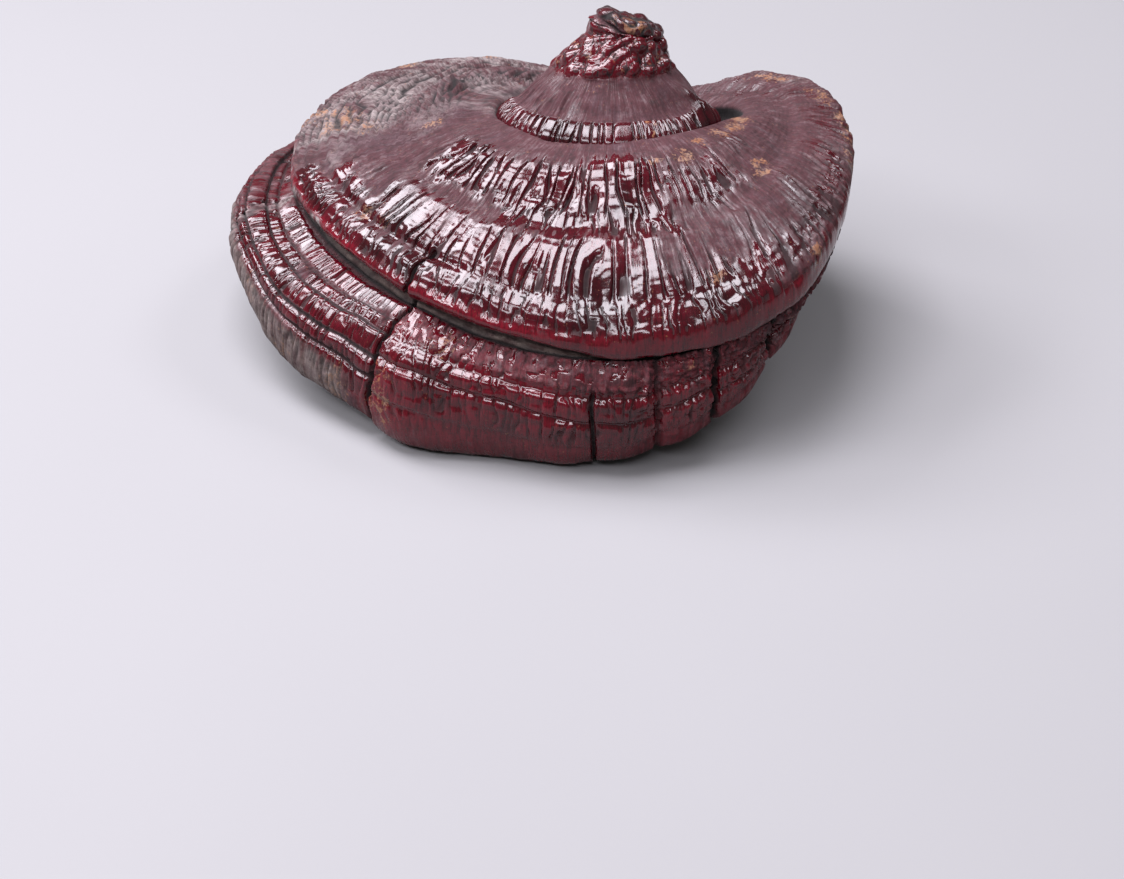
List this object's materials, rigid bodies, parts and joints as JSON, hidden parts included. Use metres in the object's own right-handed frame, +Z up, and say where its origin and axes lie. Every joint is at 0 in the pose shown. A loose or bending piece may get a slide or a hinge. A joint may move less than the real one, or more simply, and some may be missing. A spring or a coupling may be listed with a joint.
{
  "type": "dried reishi mushroom",
  "caption": "Dried woody bracket mushroom: rippled two-tiered lacquered cap round a pointed hub, hollow pored underside, short cut stem to rest on.",
  "frame": {"origin": "middle of the flat cut under the stem, on the surface the mushroom rests on", "axes": "+Z up along the stem to the hub, +X to the viewer's right and -Y towards the viewer in the picture"},
  "size_m": [0.1512, 0.1411, 0.0812],
  "materials": {
    "lacquered_skin": "glossy dark mahogany varnish with radial wrinkles, dusty matte patches and tan scuffs; woody brown pores and cut stem below"
  },
  "bodies": {
    "root": {"cap": "lacquered_skin"}
  },
  "joints": []
}
